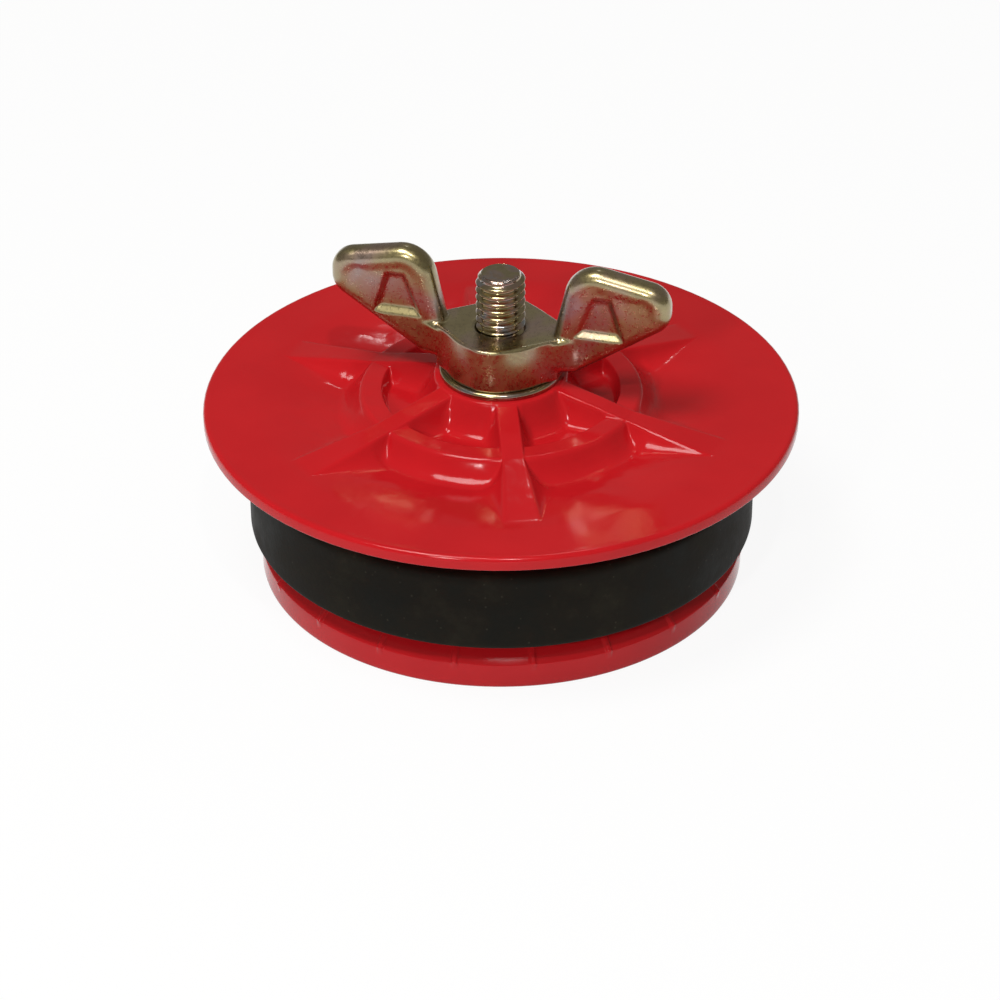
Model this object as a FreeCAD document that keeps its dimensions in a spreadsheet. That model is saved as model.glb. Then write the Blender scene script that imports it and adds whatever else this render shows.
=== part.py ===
"""Pipe expansion plug for a 4 inch pipe.

A rubber ring sits between two moulded plates with sloping wedge faces. A square-necked bolt is held in
the lower plate and comes up through the upper one, where a washer and a wing nut draw the plates
together. The wedges then push the ring outwards against the pipe.

Frame: origin at the centre of the face that the plug stands on, +Z up along the bolt, millimetres.
The plug is modelled slack, with the wing nut run down until everything just touches.
"""

import FreeCAD, Part
import math
import os

import Sketcher

SIZES = [
    # upper plate
    ("flange_diameter", 116.0),
    ("flange_thickness", 2.6),
    ("flange_top", 35.7),
    ("flange_edge_bevel", 0.9),
    ("dish_diameter", 90.0),
    ("outer_pocket_depth", 2.8),
    ("inner_pocket_depth", 0.6),
    ("floor_thickness", 2.8),
    ("top_hub_diameter", 25.2),
    ("top_hub_rise", 5.8),
    ("ring_rib_inner_diameter", 46.4),
    ("ring_rib_outer_diameter", 54.6),
    ("ring_rib_rise", 2.4),
    ("top_rib_count", 6),
    ("top_rib_width", 4.1),
    ("top_rib_end_width", 7.0),
    ("top_rib_step", 0.2),
    ("top_rib_setback", 0.6),
    ("top_rib_turn_angle", -85.2),
    ("top_neck_height", 2.0),
    # both plates
    ("wedge_wall", 3.0),
    ("wedge_wall_foot", 1.2),
    ("gusset_width", 2.4),
    ("gusset_setback", 2.0),
    ("rib_overlap", 1.4),
    # lower plate
    ("rim_height", 5.2),
    ("rim_edge_bevel", 0.8),
    ("web_thickness", 3.0),
    ("bottom_hub_diameter", 25.2),
    ("bottom_hub_clear", 8.4),
    ("bottom_gusset_count", 6),
    ("bottom_gusset_turn_angle", 30.0),
    ("crush_rib_count", 20),
    ("crush_rib_turn_angle", 7.0),
    ("crush_rib_width", 0.8),
    ("crush_rib_rise", 0.35),
    ("crush_rib_run", 4.4),
    # sealing ring
    ("ring_outer_diameter", 99.4),
    ("ring_wall", 12.0),
    ("ring_overhang", 2.0),
    ("ring_bottom", 10.1),
    ("ring_height", 16.1),
    ("ring_edge_bevel", 1.0),
    ("ring_bore_clearance", 0.3),
    ("ring_seat_clearance", 0.1),
    ("ring_top_clearance", 0.3),
    # bolt
    ("bolt_diameter", 9.525),
    ("bolt_end", 63.1),
    ("bolt_end_bevel", 1.1),
    ("bolt_head_diameter", 21.8),
    ("bolt_head_height", 4.9),
    ("bolt_head_edge", 1.0),
    ("neck_width", 9.6),
    ("neck_depth", 5.6),
    ("neck_clearance", 0.15),
    ("bolt_hole_clearance", 0.45),
    # seal and washer
    ("seal_diameter", 24.0),
    ("seal_thickness", 1.6),
    ("seal_bore", 14.2),
    ("washer_diameter", 23.9),
    ("washer_thickness", 1.3),
    ("washer_bore", 10.3),
    ("washer_edge_bevel", 0.3),
    # wing nut
    ("nut_turn_angle", -15.7),
    ("nut_bore_clearance", 0.05),
    ("nut_bore_bevel", 0.4),
    ("boss_height", 8.9),
    ("boss_nose_width", 4.0),
    ("boss_nose_reach", 11.1),
    ("boss_shoulder_reach", 12.9),
    ("wing_count", 2),
    ("wing_thickness", 5.3),
    ("wing_edge_round", 2.3),
    ("wing_root_end", 15.1),
    ("wing_root_rise", 1.1),
    ("wing_inner_foot", 9.7),
    ("wing_inner_top", 14.3),
    ("wing_height", 24.9),
    ("wing_tip_top", 21.2),
    ("wing_reach", 33.6),
    ("wing_tip_bottom", 13.7),
    ("wing_shoulder_round", 6.5),
    ("wing_tip_round", 4.6),
    ("grip_recess_depth", 0.8),
    ("grip_recess_slope_angle", 45.0),
    ("grip_recess_foot", 9.6),
    ("grip_recess_top", 18.6),
    ("grip_recess_inner_foot", 15.0),
    ("grip_recess_outer_foot", 25.2),
    ("grip_recess_inner_top", 18.4),
    ("grip_recess_outer_top", 22.4),
]


class Size:
    """A length with its number and the sheet formula that gives it."""

    def __init__(self, value, formula):
        self.value = float(value)
        self.formula = formula

    def __add__(self, other):
        other = as_size(other)
        return Size(self.value + other.value, f"({self.formula} + {other.formula})")

    def __sub__(self, other):
        other = as_size(other)
        return Size(self.value - other.value, f"({self.formula} - {other.formula})")

    def __mul__(self, factor):
        factor = as_size(factor)
        return Size(self.value * factor.value, f"({self.formula} * {factor.formula})")

    def __truediv__(self, divisor):
        divisor = as_size(divisor)
        return Size(self.value / divisor.value, f"({self.formula} / {divisor.formula})")

    def __neg__(self):
        return Size(-self.value, f"(0 - {self.formula})")


def as_size(value):
    """A Size from a Size or a plain number."""
    return value if isinstance(value, Size) else Size(value, repr(value))


doc = FreeCAD.newDocument("expansion_plug")
sheet = doc.addObject("Spreadsheet::Sheet", "Dimensions")
sheet.Label = "dims"
SIZE = {}
for row, (name, value) in enumerate(SIZES, start=1):
    sheet.set(f"A{row}", name)
    sheet.set(f"B{row}", str(value))
    sheet.setAlias(f"B{row}", name)
    SIZE[name] = Size(value, f"Dimensions.{name}")
doc.recompute()


def new_body(label, height=None, turn=None):
    """A body named for its sub-part, raised along Z and turned about Z."""
    body = doc.addObject("PartDesign::Body", label)
    body.Label = label
    lift = height.value if height else 0
    angle = turn.value if turn else 0
    body.Placement = FreeCAD.Placement(
        FreeCAD.Vector(0, 0, lift), FreeCAD.Rotation(FreeCAD.Vector(0, 0, 1), angle)
    )
    if height:
        body.setExpression("Placement.Base.z", height.formula)
    if turn:
        body.setExpression("Placement.Rotation.Angle", turn.formula)
    return body


def origin_part(body, role):
    """The body's own origin plane or axis with this role."""
    return next(part for part in body.Origin.OriginFeatures if part.Role == role)


def new_sketch(body, name, role="XZ_Plane", offset=None, turn=None):
    """A sketch on one of the body's origin planes, moved along the plane's normal and, if it stands
    upright, turned about the body's Z axis."""
    sketch = body.newObject("Sketcher::SketchObject", name)
    sketch.AttachmentSupport = [(origin_part(body, role), "")]
    sketch.MapMode = "FlatFace"
    lift = offset.value if offset else 0
    angle = turn.value if turn else 0
    sketch.AttachmentOffset = FreeCAD.Placement(
        FreeCAD.Vector(0, 0, lift), FreeCAD.Rotation(FreeCAD.Vector(0, 1, 0), angle)
    )
    if offset:
        sketch.setExpression("AttachmentOffset.Base.z", offset.formula)
    if turn:
        sketch.setExpression("AttachmentOffset.Rotation.Angle", turn.formula)
    return sketch


def pin_point(sketch, curve, end, x, y):
    """Hold one end of a sketch curve at x, y measured from the sketch origin."""
    for axis, kind, value in ((-2, "DistanceX", x), (-1, "DistanceY", y)):
        if abs(value.value) < 1e-9:
            sketch.addConstraint(Sketcher.Constraint("PointOnObject", curve, end, axis))
            continue
        index = sketch.addConstraint(
            Sketcher.Constraint(kind, -1, 1, curve, end, value.value)
        )
        sketch.setExpression(f"Constraints[{index}]", value.formula)


def draw_outline(sketch, points):
    """A closed outline of straight lines through points, each held by its own two sizes."""
    points = [(as_size(x), as_size(y)) for x, y in points]
    first = sketch.GeometryCount
    count = len(points)
    for k, (x, y) in enumerate(points):
        next_x, next_y = points[(k + 1) % count]
        sketch.addGeometry(
            Part.LineSegment(
                FreeCAD.Vector(x.value, y.value, 0), FreeCAD.Vector(next_x.value, next_y.value, 0)
            )
        )
    for k in range(count):
        after = first + (k + 1) % count
        sketch.addConstraint(Sketcher.Constraint("Coincident", first + k, 2, after, 1))
    for k, (x, y) in enumerate(points):
        pin_point(sketch, first + k, 1, x, y)


def draw_circle(sketch, diameter):
    """A circle about the sketch origin."""
    circle = sketch.addGeometry(
        Part.Circle(FreeCAD.Vector(), FreeCAD.Vector(0, 0, 1), diameter.value / 2)
    )
    sketch.addConstraint(Sketcher.Constraint("Coincident", circle, 3, -1, 1))
    index = sketch.addConstraint(Sketcher.Constraint("Diameter", circle, diameter.value))
    sketch.setExpression(f"Constraints[{index}]", diameter.formula)


def draw_square(sketch, width):
    """A square about the sketch origin."""
    half = width / 2
    draw_outline(sketch, [(half, half), (-half, half), (-half, -half), (half, -half)])


def revolve(body, sketch, name, cut=False):
    """Turn a sketch through a full circle about the body's Z axis, as material or as a cut."""
    kind = "PartDesign::Groove" if cut else "PartDesign::Revolution"
    turned = body.newObject(kind, name)
    turned.Profile = sketch
    turned.ReferenceAxis = (sketch, ["V_Axis"])
    turned.Angle = 360
    return turned


def pad(body, sketch, name, length, midplane=False):
    """Extrude a sketch into material."""
    block = body.newObject("PartDesign::Pad", name)
    block.Profile = sketch
    block.Midplane = midplane
    block.setExpression("Length", length.formula)
    return block


def pocket(body, sketch, name, length, backwards=False):
    """Extrude a sketch into a cut and make sure that it takes material away."""
    doc.recompute()
    before = body.Shape.Volume
    hollow = body.newObject("PartDesign::Pocket", name)
    hollow.Profile = sketch
    hollow.Reversed = backwards
    hollow.setExpression("Length", length.formula)
    doc.recompute()
    if hollow.Shape.Volume >= before:
        raise RuntimeError(f"{name} takes nothing away")
    return hollow


def repeat_round(body, feature, name, count):
    """Repeat a feature round the body's Z axis."""
    pattern = body.newObject("PartDesign::PolarPattern", name)
    pattern.Originals = [feature]
    pattern.Axis = (origin_part(body, "Z_Axis"), [""])
    pattern.Angle = 360
    pattern.setExpression("Occurrences", count.formula)
    body.Tip = pattern
    return pattern


def edge_names(shape, wanted):
    """The names of the edges of a shape that a test picks."""
    return [f"Edge{k}" for k, edge in enumerate(shape.Edges, start=1) if wanted(edge)]


def round_edges(body, name, wanted, radius, kind="PartDesign::Fillet"):
    """Round or bevel the edges of the body so far that a test picks."""
    doc.recompute()
    tip = body.Tip
    rounded = body.newObject(kind, name)
    rounded.Base = (tip, edge_names(tip.Shape, wanted))
    rounded.setExpression("Radius" if kind.endswith("Fillet") else "Size", radius.formula)
    return rounded


def is_circle(edge, radius, height):
    """True for a full circle about Z with this radius at this height."""
    curve = edge.Curve
    return (
        isinstance(curve, Part.Circle)
        and abs(curve.Radius - radius.value) < 0.01
        and abs(curve.Center.z - height.value) < 0.01
        and math.hypot(curve.Center.x, curve.Center.y) < 0.01
    )


# How much longer a slope at 45 degrees is than its rise
SLANT = math.sqrt(2)

# Places that more than one piece takes its own sizes from
ring_outer = SIZE["ring_outer_diameter"] / 2
ring_bore = ring_outer - SIZE["ring_wall"]
wedge_root = ring_outer - SIZE["ring_overhang"]
wedge_tip = ring_bore - SIZE["ring_bore_clearance"]
wedge_run = wedge_root - wedge_tip
wall_run = SIZE["wedge_wall"] * SLANT
bolt_hole = SIZE["bolt_diameter"] / 2 + SIZE["bolt_hole_clearance"]
bottom_web_top = SIZE["rim_height"] + wedge_run
flange_under = SIZE["flange_top"] - SIZE["flange_thickness"]
top_wedge_root = flange_under - SIZE["top_neck_height"]
top_wedge_foot = top_wedge_root - wedge_run
seal_top = SIZE["bottom_hub_clear"]
head_under = seal_top - SIZE["seal_thickness"]
hub_top = SIZE["flange_top"] + SIZE["top_hub_rise"]
nut_base = hub_top + SIZE["washer_thickness"]
overlap = SIZE["rib_overlap"]


def make_bottom_plate():
    """Lower plate: an upturned moulded cup with a plain rim, a wedge face with thin crush ribs, a flat
    web and a hub with a square socket for the bolt, stiffened underneath by gussets."""
    body = new_body("bottom_plate")
    hub = SIZE["bottom_hub_diameter"] / 2
    web_under = bottom_web_top - SIZE["web_thickness"]
    inner_rim = wedge_root - SIZE["wedge_wall"]
    inner_bend = SIZE["rim_height"] - SIZE["wedge_wall_foot"]
    bend_run = web_under - inner_bend
    section = new_sketch(body, "bottom_plate_section")
    draw_outline(
        section,
        [
            (bolt_hole, seal_top),
            (hub, seal_top),
            (hub, web_under),
            (inner_rim - bend_run, web_under),
            (inner_rim, inner_bend),
            (inner_rim, as_size(0)),
            (wedge_root, as_size(0)),
            (wedge_root, SIZE["rim_height"]),
            (wedge_tip, bottom_web_top),
            (bolt_hole, bottom_web_top),
        ],
    )
    revolve(body, section, "bottom_plate_turned")

    gusset_side = new_sketch(body, "bottom_gusset_side", turn=SIZE["bottom_gusset_turn_angle"])
    draw_outline(
        gusset_side,
        [
            (hub - overlap, seal_top),
            (hub, seal_top),
            (inner_rim, SIZE["gusset_setback"]),
            (inner_rim + overlap, SIZE["gusset_setback"]),
            (inner_rim + overlap, inner_bend),
            (inner_rim - bend_run, web_under + overlap),
            (hub - overlap, web_under + overlap),
        ],
    )
    gusset = pad(body, gusset_side, "bottom_gusset", SIZE["gusset_width"], midplane=True)
    repeat_round(body, gusset, "bottom_gussets", SIZE["bottom_gusset_count"])

    rise = SIZE["crush_rib_rise"] * SLANT
    run = SIZE["crush_rib_run"]
    crush_side = new_sketch(body, "crush_rib_side", turn=SIZE["crush_rib_turn_angle"])
    draw_outline(
        crush_side,
        [
            (wedge_root - overlap, SIZE["rim_height"] - overlap),
            (wedge_root, SIZE["rim_height"]),
            (wedge_root, SIZE["rim_height"] + rise),
            (wedge_root - run, SIZE["rim_height"] + run + rise),
            (wedge_root - run - overlap, SIZE["rim_height"] + run - overlap),
        ],
    )
    crush = pad(body, crush_side, "crush_rib", SIZE["crush_rib_width"], midplane=True)
    repeat_round(body, crush, "crush_ribs", SIZE["crush_rib_count"])

    socket = new_sketch(body, "neck_socket", "XY_Plane", seal_top)
    draw_square(socket, SIZE["neck_width"] + SIZE["neck_clearance"] * 2)
    socket_depth = SIZE["neck_depth"] - SIZE["seal_thickness"] + SIZE["neck_clearance"]
    pocket(body, socket, "neck_socket_cut", socket_depth, backwards=True)
    round_edges(
        body,
        "rim_bevelled",
        lambda edge: is_circle(edge, wedge_root, as_size(0)),
        SIZE["rim_edge_bevel"],
        kind="PartDesign::Chamfer",
    )
    return body


def make_top_plate():
    """Upper plate: a thin round flange round a shallow dish, with a hub, a ring rib and six radial ribs
    that slope down and widen to the flange, and a wedge skirt with gussets underneath."""
    body = new_body("top_plate", turn=SIZE["top_rib_turn_angle"])
    top = SIZE["flange_top"]
    floor = SIZE["floor_thickness"]
    hub = SIZE["top_hub_diameter"] / 2
    ring_in = SIZE["ring_rib_inner_diameter"] / 2
    ring_out = SIZE["ring_rib_outer_diameter"] / 2
    dish = SIZE["dish_diameter"] / 2
    flange = SIZE["flange_diameter"] / 2
    inner_floor = top - SIZE["inner_pocket_depth"]
    outer_floor = top - SIZE["outer_pocket_depth"]
    core_top = top_wedge_root + SIZE["wedge_wall_foot"]
    core_tip = wedge_tip - wall_run
    core_root = core_tip + core_top - top_wedge_foot
    section = new_sketch(body, "top_plate_section")
    draw_outline(
        section,
        [
            (bolt_hole, top_wedge_foot),
            (hub, top_wedge_foot),
            (hub, inner_floor - floor),
            (ring_in, inner_floor - floor),
            (ring_out, outer_floor - floor),
            (core_root - wall_run, outer_floor - floor),
            (core_root, core_top),
            (core_tip, top_wedge_foot),
            (wedge_tip, top_wedge_foot),
            (wedge_root, top_wedge_root),
            (wedge_root, flange_under),
            (flange, flange_under),
            (flange, top),
            (dish, top),
            (ring_out, outer_floor),
            (ring_out, top + SIZE["ring_rib_rise"]),
            (ring_in, top + SIZE["ring_rib_rise"]),
            (ring_in, inner_floor),
            (hub, inner_floor),
            (hub, hub_top),
            (bolt_hole, hub_top),
        ],
    )
    revolve(body, section, "top_plate_turned")

    rib_base = outer_floor - overlap
    rib_half = SIZE["top_rib_width"] / 2
    rib_end = SIZE["top_rib_end_width"] / 2
    rib_plan = new_sketch(body, "top_rib_plan", "XY_Plane", rib_base)
    draw_outline(
        rib_plan,
        [
            (hub - overlap, -rib_half),
            (ring_out, -rib_half),
            (dish - SIZE["top_rib_setback"], -rib_end),
            (dish - SIZE["top_rib_setback"], rib_end),
            (ring_out, rib_half),
            (hub - overlap, rib_half),
        ],
    )
    rib = pad(body, rib_plan, "top_rib", hub_top - rib_base)
    repeat_round(body, rib, "top_ribs", SIZE["top_rib_count"])
    slope = new_sketch(body, "rib_slope")
    draw_outline(
        slope,
        [
            (hub, hub_top - SIZE["top_rib_step"]),
            (ring_out, top + SIZE["ring_rib_rise"]),
            (dish, top),
            (dish, hub_top + overlap),
            (hub, hub_top + overlap),
        ],
    )
    revolve(body, slope, "rib_slope_cut", cut=True)

    gusset_foot = top_wedge_foot + SIZE["gusset_setback"]
    gusset_side = new_sketch(body, "top_gusset_side")
    draw_outline(
        gusset_side,
        [
            (hub - overlap, gusset_foot),
            (core_tip + SIZE["gusset_setback"] + overlap, gusset_foot),
            (core_root + overlap, core_top + overlap),
            (core_root - wall_run, outer_floor - floor + overlap),
            (ring_out, outer_floor - floor + overlap),
            (ring_in, inner_floor - floor + overlap),
            (hub - overlap, inner_floor - floor + overlap),
        ],
    )
    gusset = pad(body, gusset_side, "top_gusset", SIZE["gusset_width"], midplane=True)
    repeat_round(body, gusset, "top_gussets", SIZE["top_rib_count"])
    round_edges(
        body,
        "flange_bevelled",
        lambda edge: is_circle(edge, flange, top),
        SIZE["flange_edge_bevel"],
        kind="PartDesign::Chamfer",
    )
    return body


def make_sealing_ring():
    """Sealing ring: a thick rubber band with a plain outer face and two bevelled inner corners that sit
    on the wedge faces of the plates."""
    body = new_body("sealing_ring")
    bottom = SIZE["ring_bottom"]
    top = bottom + SIZE["ring_height"]
    lower_seat = wedge_root + SIZE["rim_height"] + SIZE["ring_seat_clearance"] * SLANT
    upper_seat = top_wedge_root - wedge_root - SIZE["ring_top_clearance"] * SLANT
    section = new_sketch(body, "ring_section")
    draw_outline(
        section,
        [
            (lower_seat - bottom, bottom),
            (ring_outer, bottom),
            (ring_outer, top),
            (top - upper_seat, top),
            (ring_bore, ring_bore + upper_seat),
            (ring_bore, lower_seat - ring_bore),
        ],
    )
    revolve(body, section, "ring_turned")
    round_edges(
        body,
        "ring_bevelled",
        lambda edge: is_circle(edge, ring_outer, bottom) or is_circle(edge, ring_outer, top),
        SIZE["ring_edge_bevel"],
        kind="PartDesign::Chamfer",
    )
    return body


def make_carriage_bolt():
    """Bolt: a domed head under the lower plate, a square neck that stops it turning, and a plain shank
    at the thread's outer size, bevelled at its end."""
    body = new_body("carriage_bolt")
    shank = SIZE["bolt_diameter"] / 2
    head = SIZE["bolt_head_diameter"] / 2
    head_bottom = head_under - SIZE["bolt_head_height"]
    section = new_sketch(body, "bolt_section")
    draw_outline(
        section,
        [
            (0, head_bottom),
            (head, head_bottom),
            (head, head_under),
            (shank, head_under),
            (shank, SIZE["bolt_end"]),
            (0, SIZE["bolt_end"]),
        ],
    )
    revolve(body, section, "bolt_turned")
    neck = new_sketch(body, "neck_square", "XY_Plane", head_under)
    draw_square(neck, SIZE["neck_width"])
    pad(body, neck, "neck", SIZE["neck_depth"])
    round_edges(
        body,
        "head_dome",
        lambda edge: is_circle(edge, head, head_bottom),
        SIZE["bolt_head_height"] - SIZE["bolt_head_edge"],
    )
    round_edges(
        body,
        "bolt_end_bevelled",
        lambda edge: is_circle(edge, shank, SIZE["bolt_end"]),
        SIZE["bolt_end_bevel"],
        kind="PartDesign::Chamfer",
    )
    return body


def make_flat_ring(label, height, outer, bore, thickness):
    """A flat round piece with a round hole, such as a washer."""
    body = new_body(label, height=height)
    outline = new_sketch(body, f"{label}_outline", "XY_Plane")
    draw_circle(outline, outer)
    draw_circle(outline, bore)
    pad(body, outline, f"{label}_disc", thickness)
    return body


def make_flat_washer():
    """Washer: a pressed steel ring with its outer edges broken, between the hub and the nut."""
    outer = SIZE["washer_diameter"]
    thickness = SIZE["washer_thickness"]
    body = make_flat_ring("flat_washer", hub_top, outer, SIZE["washer_bore"], thickness)
    round_edges(
        body,
        "washer_bevelled",
        lambda edge: is_circle(edge, outer / 2, as_size(0)) or is_circle(edge, outer / 2, thickness),
        SIZE["washer_edge_bevel"],
        kind="PartDesign::Chamfer",
    )
    return body


def make_bolt_seal():
    """Bolt seal: a thin rubber washer between the bolt's head and the lower hub."""
    thickness = SIZE["seal_thickness"]
    return make_flat_ring("bolt_seal", head_under, SIZE["seal_diameter"], SIZE["seal_bore"], thickness)


def make_wing_nut():
    """Wing nut: a cast boss whose four flats run out into two tall wings, each wing with a thick rounded
    rim and a shallow grip recess with sloping sides on both faces."""
    body = new_body("wing_nut", height=nut_base, turn=SIZE["nut_turn_angle"])
    half = SIZE["wing_thickness"] / 2
    boss_top = SIZE["boss_height"]
    nose = SIZE["boss_nose_width"] / 2
    nose_reach = SIZE["boss_nose_reach"]
    root_end = SIZE["boss_shoulder_reach"]

    side = new_sketch(body, "wing_side")
    draw_outline(
        side,
        [
            (SIZE["wing_inner_foot"], SIZE["wing_root_rise"]),
            (SIZE["wing_root_end"], SIZE["wing_root_rise"]),
            (SIZE["wing_reach"], SIZE["wing_tip_bottom"]),
            (SIZE["wing_reach"], SIZE["wing_tip_top"]),
            (SIZE["wing_inner_top"], SIZE["wing_height"]),
            (SIZE["wing_inner_foot"], boss_top / 2),
        ],
    )
    pad(body, side, "wing", SIZE["wing_thickness"], midplane=True)

    def is_cross_edge(x, z):
        """A test for the edge across the wing's thickness at this corner of its outline."""

        def test(edge):
            centre = edge.CenterOfMass
            return abs(centre.x - x.value) < 0.01 and abs(centre.z - z.value) < 0.01

        return test

    round_edges(
        body,
        "wing_shoulder",
        is_cross_edge(SIZE["wing_inner_top"], SIZE["wing_height"]),
        SIZE["wing_shoulder_round"],
    )
    round_edges(
        body,
        "wing_tip_upper",
        is_cross_edge(SIZE["wing_reach"], SIZE["wing_tip_top"]),
        SIZE["wing_tip_round"],
    )
    round_edges(
        body,
        "wing_tip_lower",
        is_cross_edge(SIZE["wing_reach"], SIZE["wing_tip_bottom"]),
        SIZE["wing_tip_round"],
    )
    round_edges(
        body,
        "wing_rim",
        lambda edge: abs(abs(edge.CenterOfMass.y) - half.value) < 0.01,
        SIZE["wing_edge_round"],
    )
    doc.recompute()
    both = body.newObject("PartDesign::PolarPattern", "both_wings")
    both.TransformMode = "Whole shape"
    both.Axis = (origin_part(body, "Z_Axis"), [""])
    both.Angle = 360
    both.setExpression("Occurrences", SIZE["wing_count"].formula)
    body.Tip = both

    plan = new_sketch(body, "boss_plan", "XY_Plane")
    draw_outline(
        plan,
        [
            (root_end, -half),
            (root_end, half),
            (nose, nose_reach),
            (-nose, nose_reach),
            (-root_end, half),
            (-root_end, -half),
            (-nose, -nose_reach),
            (nose, -nose_reach),
        ],
    )
    pad(body, plan, "boss", boss_top)

    hole = new_sketch(body, "nut_bore_circle", "XY_Plane")
    draw_circle(hole, SIZE["bolt_diameter"] + SIZE["nut_bore_clearance"] * 2)
    pocket(body, hole, "nut_bore", boss_top, backwards=True)
    bore = SIZE["bolt_diameter"] / 2 + SIZE["nut_bore_clearance"]
    round_edges(
        body,
        "nut_bore_lead",
        lambda edge: is_circle(edge, bore, boss_top),
        SIZE["nut_bore_bevel"],
        kind="PartDesign::Chamfer",
    )

    for name, face, backwards in (("front", half, False), ("back", -half, True)):
        recess = new_sketch(body, f"grip_recess_{name}_outline", "XZ_Plane", face)
        for side_sign in (1, -1):
            draw_outline(
                recess,
                [
                    (SIZE["grip_recess_inner_foot"] * side_sign, SIZE["grip_recess_foot"]),
                    (SIZE["grip_recess_outer_foot"] * side_sign, SIZE["grip_recess_foot"]),
                    (SIZE["grip_recess_outer_top"] * side_sign, SIZE["grip_recess_top"]),
                    (SIZE["grip_recess_inner_top"] * side_sign, SIZE["grip_recess_top"]),
                ],
            )
        cut = pocket(body, recess, f"grip_recess_{name}", SIZE["grip_recess_depth"], backwards)
        cut.TaperAngle = -SIZE["grip_recess_slope_angle"].value
        cut.setExpression("TaperAngle", (-SIZE["grip_recess_slope_angle"]).formula)
    return body


make_bottom_plate()
make_top_plate()
make_sealing_ring()
make_carriage_bolt()
make_bolt_seal()
make_flat_washer()
make_wing_nut()
doc.recompute()

os.makedirs("parts", exist_ok=True)
for item in doc.Objects:
    if {"Invalid", "Error"} & set(item.State):
        raise RuntimeError(f"{item.Label} failed: {item.State}")
for item in doc.Objects:
    if item.TypeId != "PartDesign::Body":
        continue
    shape = item.Shape
    if shape.isNull() or not shape.isValid() or len(shape.Solids) != 1:
        raise RuntimeError(f"{item.Label} is not one sound solid")
    shape.exportStep(f"parts/{item.Label}.step")
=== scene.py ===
import math

import bpy
import numpy as np
from mathutils import Matrix, Vector


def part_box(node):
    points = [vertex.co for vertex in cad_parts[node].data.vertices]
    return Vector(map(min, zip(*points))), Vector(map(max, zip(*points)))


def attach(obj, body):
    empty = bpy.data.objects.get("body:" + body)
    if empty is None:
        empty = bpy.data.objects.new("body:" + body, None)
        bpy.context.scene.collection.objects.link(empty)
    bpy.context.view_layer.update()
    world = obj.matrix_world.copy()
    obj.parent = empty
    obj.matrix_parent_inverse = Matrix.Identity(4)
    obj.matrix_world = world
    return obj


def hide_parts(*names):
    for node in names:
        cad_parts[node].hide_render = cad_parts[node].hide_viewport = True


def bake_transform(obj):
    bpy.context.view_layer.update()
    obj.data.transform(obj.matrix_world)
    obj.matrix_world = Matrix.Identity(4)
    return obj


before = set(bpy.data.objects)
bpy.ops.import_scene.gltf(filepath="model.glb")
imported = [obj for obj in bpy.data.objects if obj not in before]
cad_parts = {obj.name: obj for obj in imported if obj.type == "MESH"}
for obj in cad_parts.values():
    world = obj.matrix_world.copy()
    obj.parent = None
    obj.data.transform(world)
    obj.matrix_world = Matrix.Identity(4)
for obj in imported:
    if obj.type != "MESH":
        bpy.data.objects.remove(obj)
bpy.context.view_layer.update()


# Carriage bolt. A rolled steel bolt, zinc plated and passivated yellow, whose domed head hangs under the
# lower plate and whose square neck keeps it from turning. Its coarse thread runs up to a bevelled end.
MM = 0.001
THREAD_PITCH = 25.4 / 16
THREAD_DEPTH = 0.86
CREST_HALF = THREAD_PITCH / 16
CREST_ROUND = 0.12
ROOT_ROUND = 0.2
THREAD_FOOT = 20.0
SHANK_RADIUS = 9.525 / 2
END_BEVEL = 1.1
HEAD_HEIGHT = 4.9
HEAD_EDGE = 1.0
NECK_HALF = 4.8
NECK_DEPTH = 5.6


def node_size(node):
    """The lowest and highest corner of a CAD node, in millimetres."""
    return [np.array(corner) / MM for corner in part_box(node)]


def smooth_max(a, b, reach):
    """The larger of a and b, with a fillet where they cross: (reach - |a - b|) squared over four times the
    reach is added where that bracket is positive."""
    left = np.maximum(reach - np.abs(a - b), 0)
    return np.maximum(a, b) + left**2 / (4 * reach)


def smooth_min(a, b, reach):
    """The smaller of a and b, with the corner where they cross rounded off."""
    return -smooth_max(-a, -b, reach)


def shell(rows, ends):
    """Points and faces of a surface through a grid of rings, rows by columns by xyz. Ends are "joined"
    where the last ring meets the first, and "filled" where a fan closes each end to its middle. Faces are
    turned to point outwards, where the enclosed volume, the sum of a . (b x c) / 6, is positive."""
    rows = np.asarray(rows, float)
    index = np.arange(rows.shape[0] * rows.shape[1]).reshape(rows.shape[:2])
    points = rows.reshape(-1, 3)
    lower, upper = index[:-1], index[1:]
    if ends == "joined":
        lower, upper = index, np.roll(index, -1, axis=0)
    quads = np.stack([lower, np.roll(lower, -1, axis=1), np.roll(upper, -1, axis=1), upper], axis=-1)
    quads = quads.reshape(-1, 4)
    fans = np.empty((0, 3), int)
    if ends == "filled":
        points = np.vstack([points, rows[0].mean(axis=0), rows[-1].mean(axis=0)])
        first = np.stack([np.roll(index[0], -1), index[0], np.full_like(index[0], index.size)], axis=-1)
        last = np.stack([index[-1], np.roll(index[-1], -1), np.full_like(index[0], index.size + 1)], axis=-1)
        fans = np.vstack([first, last])
    triangles = np.vstack([quads[:, [0, 1, 2]], quads[:, [0, 2, 3]], fans])
    a, b, c = (points[triangles[:, k]] for k in range(3))
    if (a * np.cross(b, c)).sum() < 0:
        quads, fans = quads[:, ::-1], fans[:, ::-1]
    return points, quads.tolist() + fans.tolist()


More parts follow.
